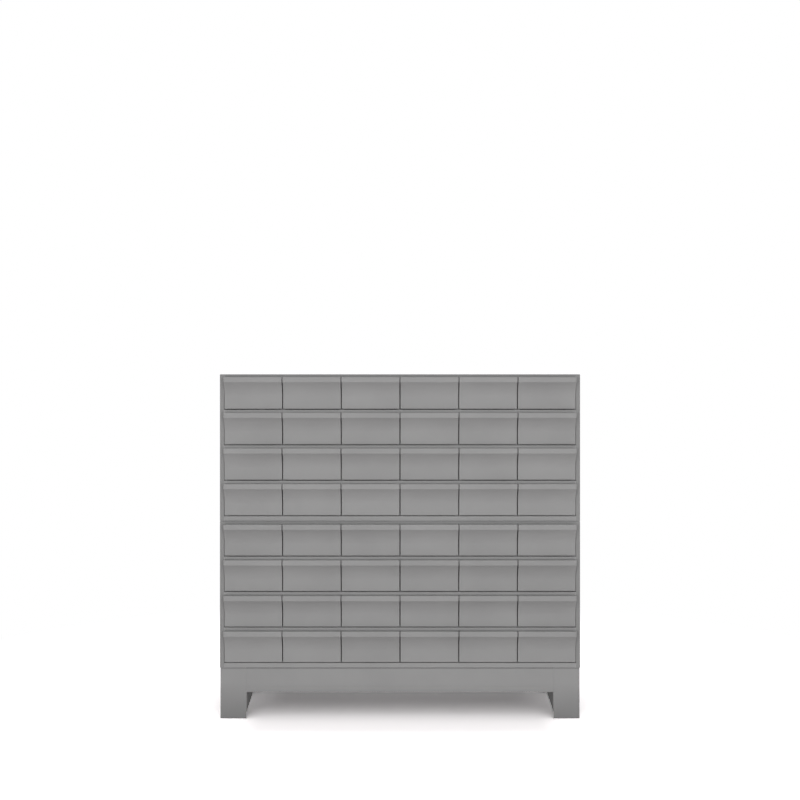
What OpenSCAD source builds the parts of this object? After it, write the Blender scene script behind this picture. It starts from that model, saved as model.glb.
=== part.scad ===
// Small-parts drawer cabinet: two steel cabinets of full-width-lip drawers,
// stacked and bolted together on a leg base. Millimetres.
// +X is to the right, +Y to the back, +Z up. The origin is on the floor, under
// the centre of everything, drawer lips included.

/* [Cabinets] */
// Outside width of a cabinet
cabinet_w = 857.25; // [700:0.25:1000]
// Depth of a cabinet, from its front flanges to its rear flanges
cabinet_d = 311.15; // [240:0.05:450]
// Height of one cabinet
cabinet_h = 349.25; // [320:0.25:420]
// Drawers side by side in a row
columns = 6; // [4:1:6]
// Rows of drawers in one cabinet
rows = 4; // [2:1:4]
// Sheet thickness of the case, shelves, guides and back panel
case_sheet = 1; // [0.8:0.1:1.4]
// Outside radius of the bends in the case and shelves
case_bend = 1.5; // [1.2:0.1:3]
// Width of the case's flange beside the outer drawers
side_flange_w = 10; // [8:0.5:14]
// Height of the flange down the front of the top panel and of each shelf
shelf_flange_h = 19; // [15:0.5:22]
// Depth of the stiffening return at the foot of a shelf's front flange
shelf_return = 6; // [3:0.5:10]
// Height of the flange down the rear of a shelf
shelf_rear_h = 12; // [6:0.5:16]
// Height of the lowest shelf's top face above the cabinet's bottom
floor_rise = 11.7; // [10:0.1:16]
// Open joint under the lowest shelf's front flange
foot_gap = 0.3; // [0.2:0.1:1]
// Width of the flanges turned in under a cabinet, at its sides
foot_flange_w = 32; // [28:1:45]
// Width of the case's rear flanges, which frame the back panel
rear_flange_w = 12; // [8:0.5:20]
// Room between a shelf's return and the edge of the guides behind it
guide_gap = 1.5; // [0.5:0.5:8]
// Room behind the guides, to the rear bend of the shelf above
guide_end_gap = 1; // [1:0.5:10]
// Width of the runner strip on the shelf, under each guide
runner_w = 14; // [10:1:16]
// Thickness of the runner strips, which carry the drawers
runner_t = 1.35; // [0.8:0.05:2]
// Running clearance between a drawer and the runner strips under it
slide_gap = 0.05; // [0.02:0.01:0.3]

/* [Drawers] */
// Sheet thickness of a drawer
drawer_sheet = 0.9; // [0.7:0.1:1.2]
// Gap between two drawer fronts
drawer_gap = 2.4; // [2:0.1:5]
// Gap between an outer drawer front and the case's side flange
edge_gap = 1.125; // [0.8:0.025:2]
// Height of shelf flange left showing above a drawer's lip
reveal = 6.5; // [6:0.1:10]
// How far a drawer's face stands ahead of the cabinet's front
face_proud = 2; // [1.5:0.1:4]
// How far the lip stands ahead of the drawer's face
lip_depth = 16; // [10:0.5:20]
// Height of the lip's flat front
lip_h = 12.4; // [9:0.1:16]
// Height of the hollow finger curve under the lip
cove_h = 36.4; // [28:0.1:42]
// Outside radius of the bend at the foot of a drawer's face
foot_bend = 2.2; // [1.5:0.1:5]
// Outside radius of the bends at the top and bottom of the lip
lip_bend = 2.2; // [1.5:0.1:3]
// Gap between the lip's top return and the shelf flange behind it
lip_clearance = 0.5; // [0.3:0.1:1]
// How far the front's cheeks lap back over the drawer's sides
cheek_lap = 10; // [6:0.5:12]
// Room between the top of a drawer's sides and the shelf flange above
side_clearance = 1.2; // [1:0.1:4]
// Width of the folded hem along the top of the sides and back
hem_h = 6; // [4:0.5:8]
// Room behind a drawer, to the back panel
rear_room = 14; // [8:0.5:30]
// Height of the stop ears above a drawer's sides
stop_h = 7; // [5:0.5:9]
// Length of the stop ears
stop_l = 12; // [8:0.5:20]
// Distance of the stop ears from the drawer's rear
stop_setback = 30; // [15:1:60]

/* [Base] */
// Height of the base
base_h = 120.65; // [90:0.05:180]
// How far the base is set in from the cabinets, on each side
base_inset = 1; // [0:0.5:4]
// Sheet thickness of the base
base_sheet = 1.5; // [1.2:0.1:2.5]
// Outside radius of the bends in the base
base_bend = 2; // [1.8:0.1:4]
// Width of a leg's front and side faces
leg_w = 62.5; // [50:0.5:80]
// Height of the aprons between the legs
apron_h = 58.3; // [35:0.1:70]
// Depth of the aprons' top flange
apron_top_w = 20; // [12:1:30]
// Depth of the aprons' bottom return
apron_foot_w = 12; // [6:1:20]
// Depth of the web turned back from a leg's inner edge
web_d = 120; // [70:1:130]
// Height above the floor of the web's front corner
web_low = 15.5; // [8:0.5:25]
// Height above the floor of the web's rear corner
web_high = 31.2; // [25:0.1:50]
// Width of the return at the inner edge of a leg's side face
leg_return_w = 15; // [6:1:25]
// Width of the foot flange turned in under a leg
foot_w = 45; // [25:1:50]

/* [Fasteners] */
// Thread diameter of the stacking bolts
bolt_d = 6; // [5:0.5:6]
// Clearance of a stacking bolt in its hole, on the diameter
hole_clearance = 0.6; // [0.4:0.1:1]
// Clearance of a bolt in the upper cabinet's open top holes, on the diameter
open_clearance = 1.2; // [1.2:0.1:1.6]
// Width across the flats of the bolt heads and weld nuts
bolt_flats = 10; // [9:0.5:11]
// Height of a bolt head
bolt_head_h = 4; // [3:0.1:5]
// Height of a weld nut
nut_h = 5; // [4:0.1:6]
// Clearance between thread and nut, on the radius
thread_clearance = 0.05; // [0.02:0.01:0.1]
// Thread that shows past a weld nut
bolt_show = 1; // [0.5:0.1:2]
// Distance of the bolts from the cabinets' sides
bolt_from_side = 20; // [17:0.5:24]
// Distance of the bolts from the cabinets' front and rear
bolt_from_end = 35; // [25:0.5:50]

/* [Hidden] */
case_paint = [0.56, 0.56, 0.56];
drawer_paint = [0.58, 0.58, 0.58];
zinc = [0.72, 0.72, 0.7];
bend_steps = 5; // flats in one rounded bend
cove_steps = 12; // flats in the hollow curve under a lip
past = 1; // how far a cut runs past the face that it opens
$fn = 48;

cell_h = (cabinet_h - floor_rise) / rows;
front_w = (cabinet_w - 2 * (side_flange_w + edge_gap) - (columns - 1) * drawer_gap) / columns;
pitch = front_w + drawer_gap;
body_w = front_w - 2 * drawer_sheet;
drawer_foot = runner_t + slide_gap; // underside of a drawer, above its shelf
front_h = cell_h - reveal - drawer_foot;
side_h = cell_h - shelf_flange_h - side_clearance - drawer_foot;
back_y = cabinet_d - 2 * case_sheet; // front of the back panel
drawer_rear = back_y - rear_room;
guide_front = shelf_return + guide_gap;
guide_rear = back_y - case_bend - guide_end_gap;
guide_nose_z = cell_h - shelf_flange_h + case_bend; // foot of the guides' noses, above the shelf below
cove_top = front_h - lip_h;
cove_foot = cove_top - cove_h;
lip_y = -face_proud - lip_depth;
front_y = -(cabinet_d - lip_y) / 2 - lip_y; // the cabinets' front, in the part's own frame
lower_z = base_h;
upper_z = base_h + cabinet_h;
base_w = cabinet_w - 2 * base_inset;
base_d = cabinet_d - 2 * base_inset;
nut_z = case_sheet; // underside of a weld nut, above the cabinet's bottom
hole_d = bolt_d + hole_clearance;
open_hole_d = bolt_d + open_clearance; // in the upper cabinet's top, for the bolts of one more cabinet

function drawer_name(row, column) = str("drawer_r", row, "_c", column);

// ---- Sheet metal ----

function unit(v) = v / norm(v);
function right_of(v) = [v[1], -v[0]];
function turned(v, angle) = [v[0] * cos(angle) - v[1] * sin(angle), v[0] * sin(angle) + v[1] * cos(angle)];

// The points of one bend of radius r at b, between a and c.
function corner(a, b, c, r) =
    let (
        u = unit(a - b),
        v = unit(c - b),
        half = acos(u * v) / 2,
        centre = b + unit(u + v) * r / sin(half),
        start = b + u * r / tan(half) - centre,
        turn = (180 - 2 * half) * sign(v[0] * u[1] - v[1] * u[0])
    )
    [for (i = [0 : bend_steps]) centre + turned(start, turn * i / bend_steps)];

// A path whose corners [x, y, r] are rounded where r is above 0.
function bent(path) = [
    for (i = [0 : len(path) - 1])
        let (p = [path[i][0], path[i][1]])
        each (i > 0 && i < len(path) - 1 && path[i][2] > 0
            ? corner([path[i - 1][0], path[i - 1][1]], p, [path[i + 1][0], path[i + 1][1]], path[i][2])
            : [p])
];

// The path moved to its right by distance, as the other face of a sheet is.
function beside(path, distance) = [
    for (i = [0 : len(path) - 1])
        let (
            before = right_of(unit(path[max(i, 1)] - path[max(i, 1) - 1])),
            after = right_of(unit(path[min(i + 1, len(path) - 1)] - path[min(i + 1, len(path) - 1) - 1])),
            middle = unit(before + after)
        )
        path[i] + middle * distance / (middle * before)
];

function reversed(list) = [for (i = [len(list) - 1 : -1 : 0]) list[i]];
function sheet(path, thickness) = concat(path, reversed(beside(path, thickness)));

// Carries a [y, z] outline along X, centred.
module along_x(length) rotate([90, 0, 90]) linear_extrude(length, center = true) children();

// Carries an [x, z] outline along Y, from y = 0.
module along_y(length) translate([0, length, 0]) rotate([90, 0, 0]) linear_extrude(length) children();

module both_sides() {
    children();
    mirror([1, 0, 0]) children();
}

// A rectangle with rounded corners, from [0, 0].
module rounded_plate(w, h, r) polygon(bent([
    [w / 2, 0, 0], [0, 0, r], [0, h, r], [w, h, r], [w, 0, r], [w / 2, 0, 0]
]));

// ---- Cabinets: y = 0 is the cabinet's front, z = 0 its bottom ----

module at_bolts()
    for (side = [-1, 1], y = [bolt_from_end, cabinet_d - bolt_from_end])
        translate([side * (cabinet_w / 2 - bolt_from_side), y, 0]) children();

// Top, sides and foot flanges, bent from one sheet. The foot flanges start behind the lowest shelf's return.
module case_wrap() along_y(cabinet_d) polygon(sheet(bent([
    [cabinet_w / 2 - foot_flange_w, 0, 0],
    [cabinet_w / 2, 0, case_bend],
    [cabinet_w / 2, cabinet_h, case_bend],
    [-cabinet_w / 2, cabinet_h, case_bend],
    [-cabinet_w / 2, 0, case_bend],
    [-cabinet_w / 2 + foot_flange_w, 0, 0]
]), -case_sheet));

// A frame in the plane of the front or the rear: its sides and its top.
module case_frame(side_w, top_h) difference() {
    translate([-cabinet_w / 2, 0, 0]) cube([cabinet_w, case_sheet, cabinet_h]);
    translate([-cabinet_w / 2 + side_w, -past, -past])
        cube([cabinet_w - 2 * side_w, case_sheet + 2 * past, cabinet_h - top_h + past]);
}

// The stiffening return at the foot of the top panel's front flange.
module case_return() translate([side_flange_w - cabinet_w / 2, 0, cabinet_h - shelf_flange_h])
    cube([cabinet_w - 2 * side_flange_w, shelf_return, case_sheet]);

module case(top_hole_d) color(case_paint) difference() {
    intersection() {
        union() {
            case_wrap();
            case_frame(side_flange_w, shelf_flange_h);
            case_return();
            translate([0, cabinet_d - case_sheet, 0]) case_frame(rear_flange_w, rear_flange_w);
        }
        translate([-cabinet_w / 2, 0, 0]) linear_extrude(cabinet_h)
            rounded_plate(cabinet_w, cabinet_d, case_bend);
        along_y(cabinet_d) translate([-cabinet_w / 2, 0])
            rounded_plate(cabinet_w, cabinet_h, case_bend);
        along_x(cabinet_w) translate([0, -cabinet_h]) rounded_plate(cabinet_d, 2 * cabinet_h, case_bend);
    }
    at_bolts() {
        translate([0, 0, -past]) cylinder(d = hole_d, h = case_sheet + 2 * past);
        translate([0, 0, cabinet_h - case_sheet - past])
            cylinder(d = top_hole_d, h = case_sheet + 2 * past);
    }
    both_sides() translate([cabinet_w / 2 - foot_flange_w - past, -past, -past])
        cube([past + foot_flange_w - side_flange_w, past + shelf_return + foot_gap, case_sheet + 2 * past]);
}

module back_panel() color(case_paint)
    translate([-cabinet_w / 2 + case_sheet, back_y, case_sheet]) along_y(case_sheet)
        rounded_plate(cabinet_w - 2 * case_sheet, cabinet_h - 2 * case_sheet, case_bend);

// One shelf, its top face at z = 0: front flange with its return, plate and rear flange.
// Both flanges stop short of the case's sides.
module shelf(flange_h, rear_h) difference() {
    along_x(cabinet_w - 2 * case_sheet) polygon(sheet(bent([
        [shelf_return, -flange_h, 0],
        [0, -flange_h, case_bend],
        [0, 0, case_bend],
        [back_y, 0, case_bend],
        [back_y, -rear_h, 0]
    ]), case_sheet));
    both_sides() translate([cabinet_w / 2 - side_flange_w, -past, 0]) {
        translate([0, 0, -flange_h - past]) cube([side_flange_w, past + case_sheet, flange_h + 2 * past]);
        translate([0, 0, -flange_h - past])
            cube([side_flange_w, back_y + 2 * past, flange_h + past - case_bend]);
    }
}

module at_lines() for (line = [0 : columns]) translate([(line - columns / 2) * pitch, 0, 0]) children();

module shelves() color(case_paint) {
    translate([0, 0, floor_rise]) shelf(floor_rise - foot_gap, floor_rise - case_sheet - foot_gap);
    for (row = [1 : rows - 1])
        translate([0, 0, floor_rise + row * cell_h]) shelf(shelf_flange_h, shelf_rear_h);
    for (row = [0 : rows - 1])
        translate([-runner_w / 2, guide_front, floor_rise + row * cell_h]) at_lines()
            cube([runner_w, guide_rear - guide_front, runner_t]);
}

// An upright plate between two lanes, on a runner strip. Its nose reaches over the return of the shelf above.
module guide() along_x(case_sheet) polygon([
    [guide_front, runner_t],
    [guide_rear, runner_t],
    [guide_rear, cell_h - case_sheet],
    [case_bend, cell_h - case_sheet],
    [case_bend, guide_nose_z],
    [guide_front, guide_nose_z]
]);

module guides() color(case_paint)
    for (row = [0 : rows - 1]) translate([0, 0, floor_rise + row * cell_h]) at_lines() guide();

// ---- Drawers: y = 0 is the cabinet's front, z = 0 the underside of the drawer ----

// The hollow under the lip: an arc that leaves the face upright and reaches the lip's foot.
cove_angle = 2 * atan(lip_depth / cove_h);
cove_r = cove_h / sin(cove_angle);

// Outer face of floor, front and lip, from the rear of the floor to the end of the lip's return.
pan_path = bent(concat(
    [[drawer_rear, 0, 0], [-face_proud, 0, foot_bend]],
    [for (i = [0 : cove_steps]) let (a = cove_angle * i / cove_steps)
        [-face_proud - cove_r * (1 - cos(a)), cove_foot + cove_r * sin(a), i == cove_steps ? lip_bend : 0]],
    [[lip_y, front_h, lip_bend], [-lip_clearance, front_h, 0]]
));
cheek_top = side_h - hem_h / 2;

module drawer_pan() along_x(body_w) polygon(sheet(pan_path, drawer_sheet));

// The front's own sides: they close the ends of the lip and lap the drawer's sides.
module drawer_cheeks() both_sides()
    translate([(body_w + drawer_sheet) / 2, 0, 0]) along_x(drawer_sheet) polygon(concat(
        [[cheek_lap, 0]],
        [for (i = [1 : len(pan_path) - 1]) pan_path[i]],
        [[-lip_clearance, cheek_top], [cheek_lap, cheek_top]]
    ));

module drawer_sides() both_sides() translate([body_w / 2 - drawer_sheet, 0, 0]) {
    face_back = -face_proud + drawer_sheet;
    translate([0, face_back, 0]) cube([drawer_sheet, drawer_rear - face_back, side_h]);
    translate([-drawer_sheet, 0, side_h - hem_h]) cube([drawer_sheet, drawer_rear, hem_h]);
    translate([0, drawer_rear - stop_setback - stop_l, side_h - hem_h])
        cube([drawer_sheet, stop_l, hem_h + stop_h]);
}

module drawer_back() {
    translate([-body_w / 2, drawer_rear - drawer_sheet, 0]) cube([body_w, drawer_sheet, side_h]);
    translate([-body_w / 2, drawer_rear - 2 * drawer_sheet, side_h - hem_h])
        cube([body_w, drawer_sheet, hem_h]);
}

module drawer() color(drawer_paint) union() {
    drawer_pan();
    drawer_cheeks();
    drawer_sides();
    drawer_back();
}

// ---- Base: y = 0 is the base's front, z = 0 the floor ----

module foot_flange() translate([base_sheet / 2, base_bend, 0])
    cube([foot_w - base_sheet / 2, leg_w - 2 * base_bend, base_sheet]);

// The left front leg, with its outer corner at the origin.
module leg() difference() {
    union() {
        linear_extrude(base_h) polygon(sheet(bent([
            [leg_w, 0, 0], [0, 0, base_bend], [0, leg_w, base_bend], [leg_return_w, leg_w, 0]
        ]), base_sheet));
        translate([leg_w - base_sheet / 2, 0, 0]) along_x(base_sheet) polygon([
            [0, web_low], [web_d, web_high], [web_d, base_h], [0, base_h]
        ]);
        foot_flange();
        translate([base_bend, base_bend, base_h - base_sheet])
            cube([leg_w - base_bend, leg_w - base_bend, base_sheet]);
    }
    translate([bolt_from_side - base_inset, bolt_from_end - base_inset, base_h - base_sheet - past])
        cylinder(d = hole_d, h = base_sheet + 2 * past);
}

module legs() color(case_paint) both_sides() {
    translate([-base_w / 2, 0, 0]) leg();
    translate([-base_w / 2, base_d, 0]) mirror([0, 1, 0]) leg();
}

// Section of an apron: x is how far in from its face, y the height above the floor.
function apron_section() = sheet(bent([
    [apron_foot_w, base_h - apron_h, 0],
    [0, base_h - apron_h, base_bend],
    [0, base_h, base_bend],
    [apron_top_w, base_h, 0]
]), base_sheet);

module aprons() color(case_paint) {
    for (rear = [0, 1]) translate([0, rear * base_d, 0]) mirror([0, rear, 0])
        along_x(base_w - 2 * leg_w) polygon(apron_section());
    both_sides() translate([-base_w / 2, leg_w, 0])
        along_y(base_d - 2 * leg_w) polygon(apron_section());
}

// ---- Fasteners ----

module hexagon(height) cylinder(d = bolt_flats / cos(30), h = height, $fn = 6);

// A stacking bolt under a plate of the given thickness, the plate's top face at z = 0.
module stacking_bolt(plate) translate([0, 0, -plate]) {
    translate([0, 0, -bolt_head_h]) hexagon(bolt_head_h);
    cylinder(d = bolt_d - 2 * thread_clearance, h = plate + nut_z + nut_h + bolt_show);
}

module bolts() color(zinc) {
    translate([0, 0, base_h]) at_bolts() stacking_bolt(base_sheet);
    translate([0, 0, upper_z]) at_bolts() stacking_bolt(case_sheet);
}

module weld_nuts() color(zinc)
    for (z = [lower_z, upper_z]) translate([0, 0, z + nut_z]) at_bolts() difference() {
        hexagon(nut_h);
        translate([0, 0, -past]) cylinder(d = bolt_d, h = nut_h + 2 * past);
    }

// ---- The assembly ----

module in_cabinet(z) translate([0, front_y, z]) children();

// Row 1 is the top one, and column 1 is on the left.
module at_drawer(row, column)
    in_cabinet(row <= rows ? upper_z : lower_z)
        translate([(column - (columns + 1) / 2) * pitch, 0,
                   floor_rise + (rows - 1 - (row - 1) % rows) * cell_h + drawer_foot])
            children();

in_cabinet(upper_z) case(open_hole_d);  // upper_case
in_cabinet(upper_z) back_panel();  // upper_back_panel
in_cabinet(upper_z) shelves();  // upper_shelves
in_cabinet(upper_z) guides();  // upper_guides
in_cabinet(lower_z) case(hole_d);  // lower_case
in_cabinet(lower_z) back_panel();  // lower_back_panel
in_cabinet(lower_z) shelves();  // lower_shelves
in_cabinet(lower_z) guides();  // lower_guides
translate([0, front_y + base_inset, 0]) legs();  // base_legs
translate([0, front_y + base_inset, 0]) aprons();  // base_aprons
in_cabinet(0) bolts();  // stacking_bolts
in_cabinet(0) weld_nuts();
for (row = [1 : 2 * rows], column = [1 : columns])
    at_drawer(row, column) drawer();
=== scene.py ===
# Two steel small-parts cabinets stacked on a leg base, dressed in grey baked enamel.
import bpy
import bmesh
import math
import random
from mathutils import Matrix, Vector


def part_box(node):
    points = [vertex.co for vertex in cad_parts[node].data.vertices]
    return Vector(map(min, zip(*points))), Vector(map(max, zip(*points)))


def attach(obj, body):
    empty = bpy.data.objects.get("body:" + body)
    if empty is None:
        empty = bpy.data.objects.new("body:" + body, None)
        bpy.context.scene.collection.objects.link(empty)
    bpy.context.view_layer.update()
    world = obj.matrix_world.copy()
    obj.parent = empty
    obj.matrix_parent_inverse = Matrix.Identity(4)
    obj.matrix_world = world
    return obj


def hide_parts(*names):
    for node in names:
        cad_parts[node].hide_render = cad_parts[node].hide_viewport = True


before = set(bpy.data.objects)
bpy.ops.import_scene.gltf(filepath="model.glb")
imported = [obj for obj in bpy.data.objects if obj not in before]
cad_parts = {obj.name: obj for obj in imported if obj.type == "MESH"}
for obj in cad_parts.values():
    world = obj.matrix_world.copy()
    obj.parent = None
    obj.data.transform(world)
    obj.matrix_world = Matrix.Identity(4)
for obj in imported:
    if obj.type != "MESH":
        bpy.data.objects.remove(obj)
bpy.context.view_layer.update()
scene = bpy.context.scene
scene.view_settings.view_transform = "Standard"


# Camera: level, straight in front, far back

camera = {"distance": 2.85, "height": 0.758, "lens": 53.90, "sensor": 36.0}
caseLow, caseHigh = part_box("upper_case")
frontY = caseLow.y  # the plane of the cabinets' front flanges


def placeCamera():
    data = bpy.data.cameras.new("camera")
    data.lens = camera["lens"]
    data.sensor_width = camera["sensor"]
    obj = bpy.data.objects.new("camera", data)
    obj.location = (0, frontY - camera["distance"], camera["height"])
    obj.rotation_euler = (math.radians(90), 0, 0)
    scene.collection.objects.link(obj)
    scene.camera = obj


placeCamera()
print("camera placed")


# Paint and metal

enamel = {
    "tint": (1.0, 0.997, 0.995),
    "cloud": {"Scale": 7.0, "Detail": 3.0, "Roughness": 0.55},  # slow drift of tone over the panels
    "cloudTone": (0.955, 1.045),
    "peel": {"Scale": 620.0, "Detail": 1.0, "Roughness": 0.4},  # orange peel
    "peelStrength": 0.35,
    "peelHeight": 0.00002,
    "speck": {"Scale": 2400.0, "Detail": 0.0},
    "speckTone": (0.985, 1.015),
    "span": (0.3, 0.7),  # the part of a noise that changes the tone
    "roughSpan": (0.25, 0.75),
    "roughness": (0.47, 0.56),
    "specular": 0.35,
    "edgeRadius": 0.0011,
    "edgeSpan": (0.02, 0.35),
    "edgeHighlight": 1.12,  # painted highlight: how much brighter the enamel is along edges and bends
    "floorShadeReach": 0.085,  # painted shade: how high above the floor the base darkens, and how high the darker band at its foot reaches
    "footShadowReach": 0.003,
    "jointShadeReach": 0.004,  # painted shade in the joint under the lower cabinet
    "jointShadeTone": 0.6,
}


def newMaterial(name):
    mat = bpy.data.materials.new(name)
    mat.use_nodes = True
    nodes = mat.node_tree.nodes
    return mat, nodes, mat.node_tree.links, nodes["Principled BSDF"]


def addNode(nodes, kind, **values):
    node = nodes.new(kind)
    for key, value in values.items():
        if key in node.inputs:
            node.inputs[key].default_value = value
        else:
            setattr(node, key, value)
    return node


def ramp(nodes, links, source, low, high, fromValue, toValue):
    node = addNode(nodes, "ShaderNodeMapRange", clamp=True)
    node.inputs["From Min"].default_value = low
    node.inputs["From Max"].default_value = high
    node.inputs["To Min"].default_value = fromValue
    node.inputs["To Max"].default_value = toValue
    links.new(source, node.inputs["Value"])
    return node.outputs["Result"]


def multiply(nodes, links, first, second):
    node = addNode(nodes, "ShaderNodeMath", operation="MULTIPLY")
    for socket, value in zip(node.inputs, (first, second)):
        if isinstance(value, float):
            socket.default_value = value
        else:
            links.new(value, socket)
    return node.outputs[0]


def tinted(nodes, links, shade, tints):  # one shade, times a tint for each channel
    colour = addNode(nodes, "ShaderNodeCombineColor")
    for channel, tint in zip(("Red", "Green", "Blue"), tints):
        links.new(multiply(nodes, links, shade, tint), colour.inputs[channel])
    return colour.outputs[0]


def relief(nodes, links, height, strength, distance, shader):
    bump = addNode(nodes, "ShaderNodeBump", Strength=strength, Distance=distance)
    links.new(height, bump.inputs["Height"])
    links.new(bump.outputs["Normal"], shader.inputs["Normal"])


def edgeHighlightMask(nodes, links):  # how far the rounded normal leaves the true one: high along edges, where the painted highlight goes
    rounded = addNode(nodes, "ShaderNodeBevel", samples=4, Radius=enamel["edgeRadius"])
    true = addNode(nodes, "ShaderNodeNewGeometry")
    gap = addNode(nodes, "ShaderNodeVectorMath", operation="DISTANCE")
    links.new(rounded.outputs["Normal"], gap.inputs[0])
    links.new(true.outputs["Normal"], gap.inputs[1])
    return gap.outputs["Value"]


def paintedBaseShade(nodes, links, shade, place, shadeDepth):  # painted shade: darker towards the floor, darker still at the foot, and in the joint at the top
    way = addNode(nodes, "ShaderNodeSeparateXYZ")
    links.new(place, way.inputs[0])
    height = way.outputs["Z"]
    for reach in (enamel["floorShadeReach"], enamel["footShadowReach"]):
        shade = multiply(nodes, links, shade, ramp(nodes, links, height, 0.0, reach, 1.0 - shadeDepth, 1.0))
    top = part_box("base_legs")[1].z
    # painted shade in the joint under the lower cabinet
    jointShade = ramp(nodes, links, height, top - enamel["jointShadeReach"], top, 1.0, enamel["jointShadeTone"])
    return multiply(nodes, links, shade, jointShade)


def enamelMaterial(name, tone, nearFloorShade=0.0, drift=False, edgeHighlight=enamel["edgeHighlight"]):
    mat, nodes, links, shader = newMaterial(name)
    place = addNode(nodes, "ShaderNodeTexCoord").outputs["Object"]
    noises = [addNode(nodes, "ShaderNodeTexNoise", **enamel[key]) for key in ("cloud", "peel", "speck")]
    for noise in noises:
        links.new(place, noise.inputs["Vector"])
    cloud, peel, speck = (noise.outputs["Fac"] for noise in noises)
    shade = ramp(nodes, links, cloud, *enamel["span"], *enamel["cloudTone"])
    specks = ramp(nodes, links, speck, *enamel["span"], *enamel["speckTone"])
    shade = multiply(nodes, links, shade, specks)
    # painted highlight along edges and bends
    edges = ramp(nodes, links, edgeHighlightMask(nodes, links), *enamel["edgeSpan"], 1.0, edgeHighlight)
    shade = multiply(nodes, links, shade, edges)
    if drift:  # each drawer carries its own small difference of tone
        own = addNode(nodes, "ShaderNodeAttribute", attribute_name="tone")
        shade = multiply(nodes, links, shade, own.outputs["Fac"])
    # painted shade near the floor
    if nearFloorShade:
        shade = paintedBaseShade(nodes, links, shade, place, nearFloorShade)
    tints = [tone * tint for tint in enamel["tint"]]
    links.new(tinted(nodes, links, shade, tints), shader.inputs["Base Color"])
    roughness = ramp(nodes, links, cloud, *enamel["roughSpan"], *enamel["roughness"])
    links.new(roughness, shader.inputs["Roughness"])
    relief(nodes, links, peel, enamel["peelStrength"], enamel["peelHeight"], shader)
    shader.inputs["Specular IOR Level"].default_value = enamel["specular"]
    return mat


zincPlate = {
    "tint": (1.0, 0.99, 0.95),
    "blotch": {"Scale": 260.0, "Detail": 4.0},
    "span": (0.3, 0.7),
    "tone": (0.46, 0.6),
    "roughness": (0.28, 0.45),
    "bumpStrength": 0.3,
    "bumpHeight": 0.00003,
}


def zincMaterial():
    mat, nodes, links, shader = newMaterial("zincPlate")
    place = addNode(nodes, "ShaderNodeTexCoord").outputs["Object"]
    noise = addNode(nodes, "ShaderNodeTexNoise", **zincPlate["blotch"])
    links.new(place, noise.inputs["Vector"])
    blotch = noise.outputs["Fac"]
    tone = ramp(nodes, links, blotch, *zincPlate["span"], *zincPlate["tone"])
    links.new(tinted(nodes, links, tone, zincPlate["tint"]), shader.inputs["Base Color"])
    roughness = ramp(nodes, links, blotch, *zincPlate["span"], *zincPlate["roughness"])
    links.new(roughness, shader.inputs["Roughness"])
    shader.inputs["Metallic"].default_value = 1.0
    relief(nodes, links, blotch, zincPlate["bumpStrength"], zincPlate["bumpHeight"], shader)
    return mat


tones = {
    "drawer": 0.299,
    # painted shade: the case wears a darker copy of the one enamel
    "case": 0.25,
    "caseEdgeHighlight": 1.0,
    # painted light: the shelves and guides wear a lighter copy of it
    "shelf": 0.305,
    "shelfEdgeHighlight": 1.35,  # a strong painted highlight along the edges and bends of the shelves and guides
    "base": 0.3,
    # depth of the painted shade near the floor
    "paintedBaseShade": 0.3,
}
drawerPaint = enamelMaterial("drawerEnamel", tones["drawer"], drift=True)
casePaint = enamelMaterial("caseEnamel", tones["case"], edgeHighlight=tones["caseEdgeHighlight"])
shelfPaint = enamelMaterial("shelfEnamel", tones["shelf"], edgeHighlight=tones["shelfEdgeHighlight"])
basePaint = enamelMaterial("baseEnamel", tones["base"], nearFloorShade=tones["paintedBaseShade"])
zinc = zincMaterial()
print("materials made")


# Sheet metal tools

sheetwork = {
    "merge": 0.000002,  # points closer than this are one
    "cut": 0.00001,  # a point this close to a cut lies on it
    "near": 0.0003,  # how far off a plane or an axis a face or an edge may be
    "facing": 0.99,  # a normal with this much of a direction faces that way
    "sharp": 40,  # degrees between two faces
    "arris": 0.0002,  # rounding of small square edges
}


def finishMesh(name, bm, material):
    mesh = bpy.data.meshes.new(name)
    bmesh.ops.remove_doubles(bm, verts=bm.verts[:], dist=sheetwork["merge"])
    bm.normal_update()
    bm.to_mesh(mesh)
    bm.free()
    mesh.polygons.foreach_set("use_smooth", [True] * len(mesh.polygons))
    mesh.set_sharp_from_angle(angle=math.radians(sheetwork["sharp"]))
    mesh.materials.append(material)
    obj = bpy.data.objects.new(name, mesh)
    scene.collection.objects.link(obj)
    steadyNormals(obj)
    return obj


def applyModifiers(obj):
    bpy.context.view_layer.update()
    obj.data = bpy.data.meshes.new_from_object(obj.evaluated_get(bpy.context.evaluated_depsgraph_get()))
    obj.modifiers.clear()


def steadyNormals(obj):  # wide flat sides keep their own normal, and only the bends between them turn
    steady = obj.modifiers.new("steady", "WEIGHTED_NORMAL")
    steady.mode = "FACE_AREA"
    steady.weight = 100
    steady.keep_sharp = True
    applyModifiers(obj)


def absorb(bm, part):  # adds one bmesh to another
    mesh = bpy.data.meshes.new("part")
    part.to_mesh(mesh)
    part.free()
    bm.from_mesh(mesh)
    bpy.data.meshes.remove(mesh)


def roundOff(bm, geom, offset, segments, affect="EDGES"):
    bmesh.ops.bevel(bm, geom=geom, offset=offset, offset_type="OFFSET", segments=segments, profile=0.5,
                    affect=affect, material=-1)


def roundCorner(bm, vert, radius, segments=5):
    first, second = [(edge.other_vert(vert).co - vert.co).normalized() for edge in vert.link_edges]
    roundOff(bm, [vert], radius / math.tan(first.angle(second) / 2), segments, "VERTICES")


def wirePath(bm, points):  # points are (x, y, z, bend radius)
    verts = [bm.verts.new(point[:3]) for point in points]
    for pair in zip(verts, verts[1:]):
        bm.edges.new(pair)
    for vert, point in zip(verts, points):
        if point[3]:
            roundCorner(bm, vert, point[3])


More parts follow.
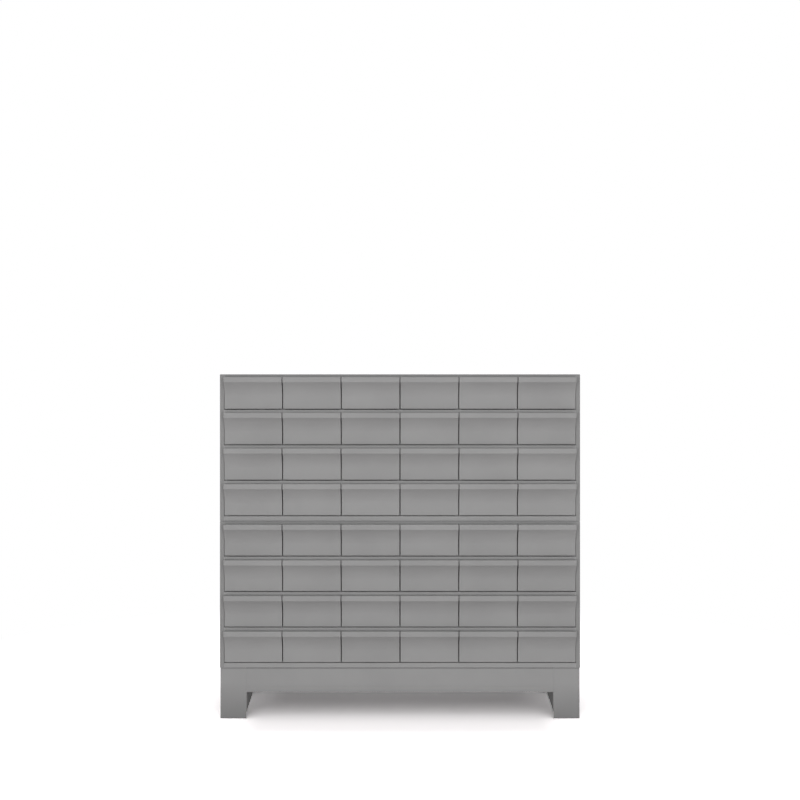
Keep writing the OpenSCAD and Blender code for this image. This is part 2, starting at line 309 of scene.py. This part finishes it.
def towards(faces, inside):  # turns an open sheet's faces away from a point
    votes = sum(face.calc_area() * face.normal.dot(face.calc_center_median() - inside) for face in faces)
    if votes < 0:
        for face in faces:
            face.normal_flip()


def shift(bm, grown, run):  # moves what an extrusion has grown
    bmesh.ops.translate(bm, verts=[item for item in grown if isinstance(item, bmesh.types.BMVert)], vec=run)


def bentSheet(points, run, inside):  # a bent line drawn along a run, its faces away from the inside
    bm = bmesh.new()
    wirePath(bm, points)
    shift(bm, bmesh.ops.extrude_edge_only(bm, edges=bm.edges[:])["geom"], run)
    bmesh.ops.recalc_face_normals(bm, faces=bm.faces[:])
    towards(bm.faces[:], Vector(inside))
    return bm


def thicken(bm, thickness):
    bm.normal_update()
    bmesh.ops.solidify(bm, geom=bm.faces[:], thickness=thickness)
    bm.normal_update()
    if bm.calc_volume(signed=True) < 0:
        bmesh.ops.reverse_faces(bm, faces=bm.faces[:])
    return bm


def foldSheet(points, run, thickness, inside):
    return thicken(bentSheet(points, run, inside), thickness)


def facing(face, axis, way, share=sheetwork["facing"]):
    return face.normal[axis] * way > share


def runsAlong(edge, axis):
    return abs(edge.verts[0].co[axis] - edge.verts[1].co[axis]) > sheetwork["near"]


def liesAbove(edge, axis, value):
    return all(vert.co[axis] > value for vert in edge.verts)


def cutFaces(bm, faces, spot, direction):
    geom = {item for face in faces for item in (face, *face.edges, *face.verts)}
    bmesh.ops.bisect_plane(bm, geom=list(geom), plane_co=spot, plane_no=direction, dist=sheetwork["cut"])


def slab(low, high, bevel=0.0):
    bm = bmesh.new()
    low, high = Vector(low), Vector(high)
    bmesh.ops.create_cube(bm, size=1.0)
    bmesh.ops.scale(bm, verts=bm.verts[:], vec=high - low)
    bmesh.ops.translate(bm, verts=bm.verts[:], vec=(low + high) / 2)
    if bevel:
        roundOff(bm, bm.edges[:], bevel, 2)
    return bm


# Cabinets: a wrapped case, shelves with their flanges, guides and back panel

cabinet = {
    "sheet": 0.001,
    "bend": 0.0015,
    "tightBend": 0.8,  # the return behind a front flange is bent this much tighter
    "sideFlange": 0.010,
    "topFlange": 0.019,
    "flangeReturn": 0.006,
    "rearFlange": 0.012,
    "footFlange": 0.032,
    "shelfRear": 0.012,
    "floorRise": 0.0117,
    "footGap": 0.0003,  # room around the lowest shelf's front flange
    "rows": 4,
    "runner": 0.00135,  # strips under the guides, which carry the drawers
    "slideGap": 0.00005,  # the drawers' running fit on them
    "runnerWidth": 0.014,
    "runnerFromFront": 0.0075,
    "lines": 7,  # guides in a row
    "boltHole": 0.0033,
    "openHole": 0.0036,  # in the upper cabinet's top
    "holeFromSide": 0.020,
    "holeFromEnd": 0.035,
    "holeSides": 32,
    "drillDepth": 0.01,
    "weldRadius": 0.0028,
    "weldSides": 20,
    "weldRings": ((1.0, 0.00012), (0.55, 0.00018)),  # share of the radius, height
    "weldTaper": 0.8,
    "weldFromEdge": 0.03,
    "weldFromEnd": 0.06,
    "weldsDeep": 6,  # welds along a shelf's side, up a rear flange and across the top one
    "weldsUp": 5,
    "weldsAcross": 9,
}
rowPitch = (caseHigh.z - caseLow.z - cabinet["floorRise"]) / cabinet["rows"]


def facesAt(bm, axis, value, way):
    return [face for face in bm.faces if abs(face.calc_center_median()[axis] - value) < sheetwork["near"]
            and facing(face, axis, way)]


def splitFace(bm, axis, value, way, cuts):  # cuts are (axis, place) lines across one flat side
    for cutAxis, place in cuts:
        spot, direction = Vector((0, 0, 0)), Vector((0, 0, 0))
        spot[cutAxis], direction[cutAxis] = place, 1
        cutFaces(bm, facesAt(bm, axis, value, way), spot, direction)
        bm.normal_update()


def caseShell(low, high):
    bm = slab(low, high)
    bm.normal_update()
    middle = (low.z + high.z) / 2
    bends = [edge for edge in bm.edges if not runsAlong(edge, 0) or liesAbove(edge, 2, middle)]
    roundOff(bm, bends, cabinet["bend"], 4)
    bm.normal_update()
    side, rear, foot = (cabinet[key] for key in ("sideFlange", "rearFlange", "footFlange"))
    flangeFoot = high.z - cabinet["topFlange"]
    joint = flangeFoot + 2 * cabinet["bend"]
    splitFace(bm, 1, low.y, -1, [(0, low.x + side), (0, high.x - side), (2, joint)])
    splitFace(bm, 1, high.y, 1, [(0, low.x + rear), (0, high.x - rear), (2, high.z - rear)])
    notch = low.y + cabinet["flangeReturn"] + cabinet["footGap"]  # room for the lowest shelf's return
    splitFace(bm, 2, low.z, -1, [(0, low.x + foot), (0, high.x - foot),
                                 (0, low.x + side), (0, high.x - side), (1, notch)])
    gone = []
    for face in bm.faces:
        spot = face.calc_center_median()
        inFront = facing(face, 1, -1) and abs(spot.x) < high.x - side and spot.z < joint
        atRear = facing(face, 1, 1) and abs(spot.x) < high.x - rear and spot.z < high.z - rear
        reach = side if spot.y < notch else foot
        under = facing(face, 2, -1) and abs(spot.x) < high.x - reach
        if inFront or atRear or under:
            gone.append(face)
    bmesh.ops.delete(bm, geom=gone, context="FACES")
    thicken(bm, cabinet["sheet"])
    x = low.x + side
    path = [(x, low.y + cabinet["flangeReturn"], flangeFoot, 0),
            (x, low.y, flangeFoot, cabinet["bend"] * cabinet["tightBend"]), (x, low.y, joint, 0)]
    run = (high.x - low.x - 2 * side, 0, 0)
    absorb(bm, foldSheet(path, run, cabinet["sheet"], (0, low.y + cabinet["topFlange"], high.z)))
    return bm


def drillHoles(obj, height, radius=cabinet["boltHole"]):  # four bolt holes through the sheet at one height
    bm = bmesh.new()
    for x in (caseLow.x + cabinet["holeFromSide"], caseHigh.x - cabinet["holeFromSide"]):
        for y in (caseLow.y + cabinet["holeFromEnd"], caseHigh.y - cabinet["holeFromEnd"]):
            bmesh.ops.create_cone(bm, cap_ends=True, segments=cabinet["holeSides"], radius1=radius,
                                  radius2=radius, depth=cabinet["drillDepth"],
                                  matrix=Matrix.Translation((x, y, height)))
    drill = finishMesh("drill", bm, casePaint)
    cut = obj.modifiers.new("holes", "BOOLEAN")
    cut.object = drill
    cut.solver = "EXACT"
    applyModifiers(obj)
    steadyNormals(obj)
    bpy.data.objects.remove(drill)


def shelfSheet(low, high, topZ, frontDrop, rearDrop):
    inset = cabinet["sheet"]
    rear = high.y - 2 * cabinet["sheet"]
    x = low.x + inset
    bend = cabinet["bend"]
    path = [(x, low.y + cabinet["flangeReturn"], topZ - frontDrop, 0),
            (x, low.y, topZ - frontDrop, bend * cabinet["tightBend"]),
            (x, low.y, topZ, bend), (x, rear, topZ, bend), (x, rear, topZ - rearDrop, 0)]
    run = (high.x - low.x - 2 * inset, 0, 0)
    bm = bentSheet(path, run, (0, (low.y + rear) / 2, topZ - frontDrop))
    for x in (low.x + cabinet["sideFlange"], high.x - cabinet["sideFlange"]):
        geom = bm.verts[:] + bm.edges[:] + bm.faces[:]
        bmesh.ops.bisect_plane(bm, geom=geom, plane_co=(x, 0, 0), plane_no=(1, 0, 0), dist=sheetwork["cut"])
    edge = high.x - cabinet["sideFlange"]  # only the flat top reaches in behind the case's side flanges
    gone = [face for face in bm.faces if abs(face.calc_center_median().x) > edge and not facing(face, 2, 1)]
    bmesh.ops.delete(bm, geom=gone, context="FACES")
    return thicken(bm, cabinet["sheet"])


def runnerStrips(level, topZ):
    bm = bmesh.new()
    first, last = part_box(level + "_guides")
    half = (cabinet["runnerWidth"] - cabinet["sheet"]) / 2
    step = (last.x - first.x - cabinet["sheet"]) / (cabinet["lines"] - 1)
    for line in range(cabinet["lines"]):
        x = first.x + line * step
        low = (x - half, frontY + cabinet["runnerFromFront"], topZ)
        high = (x + cabinet["sheet"] + half, last.y, topZ + cabinet["runner"])
        absorb(bm, slab(low, high, sheetwork["arris"]))
    return bm


def shelfStack(level, low, high):
    bm = bmesh.new()
    drop = cabinet["floorRise"] - cabinet["footGap"]
    base = low.z + cabinet["floorRise"]
    absorb(bm, shelfSheet(low, high, base, drop, drop - cabinet["sheet"]))
    for row in range(1, cabinet["rows"]):
        absorb(bm, shelfSheet(low, high, base + row * rowPitch, cabinet["topFlange"], cabinet["shelfRear"]))
    for row in range(cabinet["rows"]):
        absorb(bm, runnerStrips(level, base + row * rowPitch))
    return bm


def spotWeld(bm, place, outward):  # a shallow ring that shows through the paint
    turn = Vector((0, 0, 1)).rotation_difference(Vector(outward)).to_matrix().to_4x4()
    for share, rise in cabinet["weldRings"]:
        radius = cabinet["weldRadius"] * share
        bmesh.ops.create_cone(bm, cap_ends=True, segments=cabinet["weldSides"], radius1=radius,
                              radius2=radius * cabinet["weldTaper"], depth=rise,
                              matrix=Matrix.Translation(Vector(place)) @ turn)


def between(start, end, count):
    return [start + (end - start) * step / (count - 1) for step in range(count)]


def caseWelds(low, high):  # the shelves to the sides, and the back panel to the rear flanges
    bm = bmesh.new()
    edge, end, flange = cabinet["weldFromEdge"], cabinet["weldFromEnd"], cabinet["rearFlange"] / 2
    for side in (-1, 1):
        for row in range(cabinet["rows"]):
            z = low.z + cabinet["floorRise"] + row * rowPitch - cabinet["sheet"] / 2
            for y in between(low.y + edge, high.y - edge, cabinet["weldsDeep"]):
                spotWeld(bm, (side * high.x, y, z), (side, 0, 0))
        for z in between(low.z + edge, high.z - edge, cabinet["weldsUp"]):
            spotWeld(bm, (side * (high.x - flange), high.y, z), (0, 1, 0))
    for x in between(low.x + end, high.x - end, cabinet["weldsAcross"]):
        spotWeld(bm, (x, high.y, high.z - flange), (0, 1, 0))
    return bm


def paintNode(name, material):  # dresses a plain solid as it is
    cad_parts[name].data.materials.clear()
    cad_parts[name].data.materials.append(material)


def buildCabinet(level):
    low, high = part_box(level + "_case")
    shell = finishMesh(level + "CaseShell", caseShell(low, high), casePaint)
    drillHoles(shell, low.z)
    drillHoles(shell, high.z, cabinet["openHole" if level == "upper" else "boltHole"])
    shelves = finishMesh(level + "ShelfSheets", shelfStack(level, low, high), shelfPaint)
    welds = finishMesh(level + "CaseWelds", caseWelds(low, high), casePaint)
    for piece, node in ((shell, "_case"), (welds, "_case"), (shelves, "_shelves")):
        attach(piece, "frame")
        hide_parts(level + node)
    paintNode(level + "_back_panel", casePaint)
    # the guides wear the shelves' lighter enamel, which paints light into the gaps between the drawers
    paintNode(level + "_guides", shelfPaint)


for level in ("upper", "lower"):
    buildCabinet(level)
    print(level, "cabinet made")


# Drawer: a pressed front with its lip, and a folded tray behind it

drawer = {
    "sheet": 0.0009,
    "faceProud": 0.002,
    "lipHeight": 0.0124,
    "coveHeight": 0.0364,
    "coveSteps": 14,
    "footBend": 0.0028,
    "lipBend": 0.0022,
    "cheekEdge": 0.0009,  # rounding of the front's upright ends
    "cheekLap": 0.010,
    "rearFrom": -0.0006,  # the front's edges behind this are left square
    "openShare": 0.9,  # faces turned this much to the rear, up or down are left open
    "lipBand": 0.001,  # but not those this close to the lip's top
    "lipSwell": 0.0003,
    "lipClearance": 0.0005,
    "trayBend": 0.0018,
    "hem": 0.006,
    "hemDepth": 0.0019,
    "hemBends": 2.01,  # two bends fit in its depth, with a little to spare
    "stopLength": 0.012,
    "stopHeight": 0.007,
    "stopSetback": 0.030,
    "stopCorner": 0.003,
    "sideClearance": 0.0012,
    "toneDrift": 0.018,
    "toneSeed": 7,
}
oneLow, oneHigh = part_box("drawer_r1_c1")
drawerWidth = oneHigh.x - oneLow.x
frontHeight = oneHigh.z - oneLow.z
lipDepth = frontY - oneLow.y - drawer["faceProud"]
drawerRear = oneHigh.y - frontY
trayWidth = drawerWidth - 2 * drawer["sheet"]
sideTop = rowPitch - cabinet["topFlange"] - drawer["sideClearance"] - cabinet["runner"] - cabinet["slideGap"]
cheekTop = sideTop - drawer["hem"] / 2


def drawerFront():
    bm = bmesh.new()
    x = -drawerWidth / 2
    faceY = -drawer["faceProud"]
    coveTop = frontHeight - drawer["lipHeight"]
    coveFoot = coveTop - drawer["coveHeight"]
    sweep = 2 * math.atan(lipDepth / drawer["coveHeight"])
    radius = drawer["coveHeight"] / math.sin(sweep)
    start = bm.verts.new((x, faceY, coveFoot))
    bmesh.ops.spin(bm, geom=[start], cent=(x, faceY - radius, coveFoot), axis=(1, 0, 0), angle=sweep,
                   steps=drawer["coveSteps"])
    bm.verts.ensure_lookup_table()
    lipFoot = max(bm.verts, key=lambda vert: vert.co.z)
    lap = drawer["cheekLap"]
    rest = [(faceY - lipDepth, frontHeight), (-drawer["lipClearance"], frontHeight),
            (-drawer["lipClearance"], cheekTop), (lap, cheekTop), (lap, 0), (faceY, 0)]
    verts = [lipFoot] + [bm.verts.new((x, y, z)) for y, z in rest] + [start]
    for pair in zip(verts, verts[1:]):
        bm.edges.new(pair)
    roundCorner(bm, verts[1], drawer["lipBend"], segments=4)
    roundCorner(bm, verts[6], drawer["footBend"], segments=5)
    roundCorner(bm, lipFoot, drawer["lipBend"], segments=3)
    cap = bmesh.ops.edgeloop_fill(bm, edges=bm.edges[:])["faces"]
    shift(bm, bmesh.ops.extrude_face_region(bm, geom=cap)["geom"], (drawerWidth, 0, 0))
    bmesh.ops.recalc_face_normals(bm, faces=bm.faces[:])
    ends = [face for face in bm.faces if facing(face, 0, 1) or facing(face, 0, -1)]
    rear = [edge for edge in bm.edges if liesAbove(edge, 1, drawer["rearFrom"])]
    outer = [edge for face in ends for edge in face.edges if edge not in rear]
    roundOff(bm, outer, drawer["cheekEdge"], 3)
    bm.normal_update()
    for vert in bm.verts:  # pressing leaves the lip a little wider than the face
        atLip = min(max((vert.co.z - coveTop) / drawer["lipBend"] + 1, 0), 1) * (vert.co.y < 0)
        vert.co.x += math.copysign(drawer["lipSwell"] * atLip, vert.co.x)
    gone = []
    for face in bm.faces:
        spot = face.calc_center_median()
        behind = facing(face, 1, 1, drawer["openShare"])
        over = facing(face, 2, 1, drawer["openShare"]) and spot.z < frontHeight - drawer["lipBand"]
        under = facing(face, 2, -1, drawer["openShare"]) and spot.y > lap / 4
        if behind or over or under:
            gone.append(face)
    bmesh.ops.delete(bm, geom=gone, context="FACES")
    return thicken(bm, drawer["sheet"])


def drawerTray():
    bm = bmesh.new()
    half = trayWidth / 2
    hem, depth, top = drawer["hem"], drawer["hemDepth"], sideTop
    begin = -drawer["faceProud"] + drawer["footBend"]
    curl = depth / drawer["hemBends"]
    side = [(-half + depth, begin, top - hem, 0), (-half + depth, begin, top, curl),
            (-half, begin, top, curl), (-half, begin, 0, drawer["trayBend"])]
    path = side + [(-x, y, z, radius) for x, y, z, radius in reversed(side)]
    run = (0, drawerRear - begin, 0)
    absorb(bm, foldSheet(path, run, drawer["sheet"], (0, drawerRear / 2, top)))
    wall = half - drawer["sheet"]
    back = [(-wall, drawerRear - depth, top - hem, 0), (-wall, drawerRear - depth, top, curl),
            (-wall, drawerRear, top, curl), (-wall, drawerRear, 0, 0)]
    absorb(bm, foldSheet(back, (2 * wall, 0, 0), drawer["sheet"], (0, drawerRear / 2, top / 2)))
    for way in (-1, 1):
        absorb(bm, drawerStop(way * (half - drawer["sheet"] / 2)))
    return bm


def drawerStop(x):  # the ear that catches behind the shelf's front flange
    end = drawerRear - drawer["stopSetback"]
    low, high = sideTop - drawer["hem"], sideTop + drawer["stopHeight"]
    half = drawer["sheet"] / 2
    bm = slab((x - half, end - drawer["stopLength"], low), (x + half, end, high))
    corners = [edge for edge in bm.edges if liesAbove(edge, 2, (low + high) / 2) and not runsAlong(edge, 1)]
    roundOff(bm, corners, drawer["stopCorner"], 4)
    return bm


def buildDrawers():
    bm = drawerFront()
    absorb(bm, drawerTray())
    pattern = finishMesh("drawerPattern", bm, drawerPaint)
    chance = random.Random(drawer["toneSeed"])
    names = [name for name in sorted(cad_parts) if name.startswith("drawer_")]
    for name in names:
        low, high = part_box(name)
        mesh = pattern.data.copy()
        mesh.transform(Matrix.Translation(((low.x + high.x) / 2, frontY, low.z)))
        tone = 1 + chance.uniform(-1, 1) * drawer["toneDrift"]
        mesh.attributes.new("tone", "FLOAT", "POINT").data.foreach_set("value", [tone] * len(mesh.vertices))
        piece = bpy.data.objects.new(name.replace("drawer", "tray"), mesh)
        scene.collection.objects.link(piece)
        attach(piece, name)
        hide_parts(name)
    bpy.data.objects.remove(pattern)
    return len(names)


print("drawers:", buildDrawers())


# Base: four folded legs with a web each, and an apron between each pair

base = {
    "sheet": 0.0015,
    "bend": 0.002,
    "leg": 0.0625,
    "legReturn": 0.015,
    "webDepth": 0.120,
    "webLow": 0.0155,
    "webHigh": 0.0312,
    "foot": 0.045,
    "apron": 0.0583,
    "apronTop": 0.020,
    "apronFoot": 0.012,
    "seam": 0.0001,  # open joint between an apron and a leg
    "seamBend": 0.0003,
}


def cornerLeg(height):  # its outer corner at the origin, its faces along +X and +Y
    leg, bend = base["leg"], base["bend"]
    path = [(leg, base["webDepth"], 0, 0), (leg, 0, 0, base["seamBend"]), (0, 0, 0, bend), (0, leg, 0, bend),
            (base["legReturn"], leg, 0, 0)]
    bm = bentSheet(path, (0, 0, height), (leg / 2, leg / 2, height / 2))
    slope = Vector((0, base["webDepth"], base["webHigh"] - base["webLow"])).normalized()
    web = [face for face in bm.faces if facing(face, 0, 1)]
    cutFaces(bm, web, (leg, 0, base["webLow"]), Vector((1, 0, 0)).cross(slope))
    gone = [face for face in bm.faces if facing(face, 0, 1) and face.calc_center_median().z < base["webHigh"]]
    bmesh.ops.delete(bm, geom=gone, context="FACES")
    sheet = base["sheet"]
    solid = thicken(bm, sheet)
    foot = slab((sheet / 2, bend, 0), (base["foot"], leg - bend, sheet), sheetwork["arris"])
    absorb(solid, foot)
    return solid


def topPlate(height):
    leg, bend, sheet = base["leg"], base["bend"], base["sheet"]
    return slab((bend, bend, height - sheet), (leg - sheet, leg - bend, height), sheetwork["arris"])


def atCorners(build):  # one part for each corner of the base, mirrored to fit there
    low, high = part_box("base_legs")
    bm = bmesh.new()
    for x, flipX in ((low.x, 1), (high.x, -1)):
        for y, flipY in ((low.y, 1), (high.y, -1)):
            part = build(high.z)
            bmesh.ops.scale(part, verts=part.verts[:], vec=(flipX, flipY, 1))
            if flipX * flipY < 0:
                bmesh.ops.reverse_faces(part, faces=part.faces[:])
            bmesh.ops.translate(part, verts=part.verts[:], vec=(x, y, 0))
            absorb(bm, part)
    return bm


def buildLegs():
    plates = finishMesh("topPlates", atCorners(topPlate), basePaint)
    drillHoles(plates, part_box("base_legs")[1].z)  # alone, because the cut can lose parts that overlap
    bm = atCorners(cornerLeg)
    bm.from_mesh(plates.data)
    bpy.data.objects.remove(plates)
    return finishMesh("legSheets", bm, basePaint)


def apronSheet(length, height):  # along +X from the origin, its face looking to -Y
    foot = height - base["apron"]
    bend = base["bend"]
    path = [(0, base["apronFoot"], foot, 0), (0, 0, foot, bend), (0, 0, height, bend),
            (0, base["apronTop"], height, 0)]
    return foldSheet(path, (length, 0, 0), base["sheet"], (length / 2, base["apronTop"], (foot + height) / 2))


def buildAprons():
    low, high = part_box("base_legs")
    bm = bmesh.new()
    leg, gap = base["leg"], base["seam"]
    long = high.x - low.x - 2 * (leg + gap)
    short = high.y - low.y - 2 * (leg + gap)
    centre = (low + high) / 2
    for length, reach, turn in ((long, centre.y - low.y, 0), (short, high.x - centre.x, 90),
                                (long, centre.y - low.y, 180), (short, high.x - centre.x, 270)):
        sheet = apronSheet(length, high.z)
        bmesh.ops.translate(sheet, verts=sheet.verts[:], vec=(-length / 2, -reach, 0))
        place = Matrix.Translation((centre.x, centre.y, 0)) @ Matrix.Rotation(math.radians(turn), 4, "Z")
        bmesh.ops.transform(sheet, matrix=place, verts=sheet.verts[:])
        absorb(bm, sheet)
    return finishMesh("apronSheets", bm, basePaint)


for piece, node in ((buildLegs(), "base_legs"), (buildAprons(), "base_aprons")):
    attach(piece, "frame")
    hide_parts(node)
for node in ("stacking_bolts", "weld_nuts"):
    paintNode(node, zinc)
print("base made")


# Floor, light and background

studio = {
    "floorSize": 14.0,
    "floorTint": (1.0, 0.975, 0.98),
    "floorBounce": 0.95,  # its shade as the light sees it
    "floorSeen": 2.4,  # and as the camera sees it, clear of the cabinet
    "floorDeep": 1.46,  # and deep under the cabinet, a painted shadow in its colour
    "shadeInset": 0.14,  # from this far inside the cabinet's ends outwards
    "footReach": 0.13,  # the floor brightens over this distance
    "openFrom": 0.05,  # and between these distances ahead of the front foot and behind the rear one
    "openBy": 0.2,
    "footLift": 0.31,  # share of that brightness along the foot
    "underReach": 0.08,  # and this far inside it
    "underLift": 0.77,
    "deepFrom": 0.09,  # but it fades out between these distances behind the front
    "deepBy": 0.16,
    "whiteFrom": 0.75,  # the floor fades to plain white between these distances
    "whiteBy": 1.5,
    "white": (1, 1, 1, 1),
    "domeFront": 0.62,  # the room's light from in front and from behind
    "domeBehind": 0.42,
    "domeTurn": 0.7,  # how far to each side of the middle the change from one to the other reaches
    "softboxSize": 1.6,
    "softboxAim": (0.0, 0.0, 0.45),
    "softbox": 22.8,  # watts, of the left and the right one
    "softboxPlace": (1.1, -3.4, 0.45),
    "highSoftbox": 8.0,
    "highPlace": (0.0, -2.2, 2.4),
    "rearSoftbox": 26.0,
    "rearPlace": (0.0, 3.4, 0.5),
}


def clearOfShade(nodes, links, place):  # 0 deep under the cabinet, 1 well clear of it: the mask of the shadow painted into the floor
    centre = addNode(nodes, "ShaderNodeVectorMath", operation="SUBTRACT")
    centre.inputs[1].default_value = (caseLow + caseHigh) / 2
    links.new(place, centre.inputs[0])
    mirrored = addNode(nodes, "ShaderNodeVectorMath", operation="ABSOLUTE")
    links.new(centre.outputs[0], mirrored.inputs[0])
    beyond = addNode(nodes, "ShaderNodeVectorMath", operation="SUBTRACT")
    beyond.inputs[1].default_value = (caseHigh - caseLow) / 2 - Vector((studio["shadeInset"], 0, 0))
    links.new(mirrored.outputs[0], beyond.inputs[0])
    way = addNode(nodes, "ShaderNodeSeparateXYZ")
    links.new(beyond.outputs[0], way.inputs[0])
    spot = addNode(nodes, "ShaderNodeSeparateXYZ")
    links.new(place, spot.inputs[0])
    outwards, back = way.outputs["Y"], spot.outputs["Y"]
    under = ramp(nodes, links, outwards, 0.0, -studio["underReach"], studio["footLift"], studio["underLift"])
    ahead = ramp(nodes, links, back, frontY + studio["deepFrom"], frontY + studio["deepBy"], 1.0, 0.0)
    clear = ramp(nodes, links, way.outputs["X"], 0.0, studio["footReach"], 0.0, 1.0)
    opened = ramp(nodes, links, outwards, studio["openFrom"], studio["openBy"], 0.0, 1.0)
    for light in (opened, multiply(nodes, links, under, ahead)):
        more = addNode(nodes, "ShaderNodeMath", operation="MAXIMUM")
        links.new(clear, more.inputs[0])
        links.new(light, more.inputs[1])
        clear = more.outputs[0]
    return clear


def buildFloor():
    bm = bmesh.new()
    bmesh.ops.create_grid(bm, x_segments=1, y_segments=1, size=studio["floorSize"])
    mat, nodes, links, shader = newMaterial("studioFloor")
    nodes.remove(shader)
    ray = addNode(nodes, "ShaderNodeLightPath").outputs["Is Camera Ray"]
    matte = addNode(nodes, "ShaderNodeBsdfDiffuse")
    place = addNode(nodes, "ShaderNodeTexCoord").outputs["Object"]
    clear = clearOfShade(nodes, links, place)
    # painted shadow: for the camera the floor's colour darkens under and along the cabinet
    seen = ramp(nodes, links, clear, 0.0, 1.0, studio["floorDeep"], studio["floorSeen"])
    shade = addNode(nodes, "ShaderNodeMix", data_type="FLOAT")
    links.new(ray, shade.inputs["Factor"])
    shade.inputs["A"].default_value = studio["floorBounce"]
    links.new(seen, shade.inputs["B"])
    colour = tinted(nodes, links, shade.outputs["Result"], studio["floorTint"])
    links.new(colour, matte.inputs["Color"])
    reach = addNode(nodes, "ShaderNodeVectorMath", operation="LENGTH")
    links.new(place, reach.inputs[0])
    away = ramp(nodes, links, reach.outputs["Value"], studio["whiteFrom"], studio["whiteBy"], 0.0, 1.0)
    white = addNode(nodes, "ShaderNodeEmission", Strength=1.0)
    white.inputs["Color"].default_value = studio["white"]
    mix = addNode(nodes, "ShaderNodeMixShader")
    links.new(multiply(nodes, links, away, ray), mix.inputs[0])
    links.new(matte.outputs[0], mix.inputs[1])
    links.new(white.outputs[0], mix.inputs[2])
    links.new(mix.outputs[0], nodes["Material Output"].inputs["Surface"])
    finishMesh("studioFloor", bm, mat)


def buildWorld():
    world = bpy.data.worlds.new("studio")
    world.use_nodes = True
    scene.world = world
    nodes, links = world.node_tree.nodes, world.node_tree.links
    ray = addNode(nodes, "ShaderNodeLightPath")
    seen = addNode(nodes, "ShaderNodeMath", operation="MAXIMUM")
    links.new(ray.outputs["Is Camera Ray"], seen.inputs[0])
    links.new(ray.outputs["Is Transmission Ray"], seen.inputs[1])
    way = addNode(nodes, "ShaderNodeSeparateXYZ")
    links.new(addNode(nodes, "ShaderNodeTexCoord").outputs["Generated"], way.inputs[0])
    dome = ramp(nodes, links, way.outputs["Y"], -studio["domeTurn"], studio["domeTurn"], studio["domeFront"],
                studio["domeBehind"])
    mix = addNode(nodes, "ShaderNodeMix", data_type="FLOAT")
    links.new(seen.outputs[0], mix.inputs["Factor"])
    links.new(dome, mix.inputs["A"])
    mix.inputs["B"].default_value = 1.0
    links.new(mix.outputs["Result"], nodes["Background"].inputs["Strength"])
    nodes["Background"].inputs["Color"].default_value = studio["white"]


def softbox(name, place, energy):
    data = bpy.data.lights.new(name, "AREA")
    data.shape = "SQUARE"
    data.size = studio["softboxSize"]
    data.energy = energy
    light = bpy.data.objects.new(name, data)
    light.location = place
    light.visible_camera = False
    aim = Vector(studio["softboxAim"]) - light.location
    light.rotation_euler = aim.to_track_quat("-Z", "Y").to_euler()
    scene.collection.objects.link(light)


def buildSoftboxes():
    x, y, z = studio["softboxPlace"]
    softbox("leftSoftbox", (-x, y, z), studio["softbox"])
    softbox("rightSoftbox", (x, y, z), studio["softbox"])
    softbox("highSoftbox", studio["highPlace"], studio["highSoftbox"])
    softbox("rearSoftbox", studio["rearPlace"], studio["rearSoftbox"])


buildFloor()
buildWorld()
buildSoftboxes()
print("studio made")
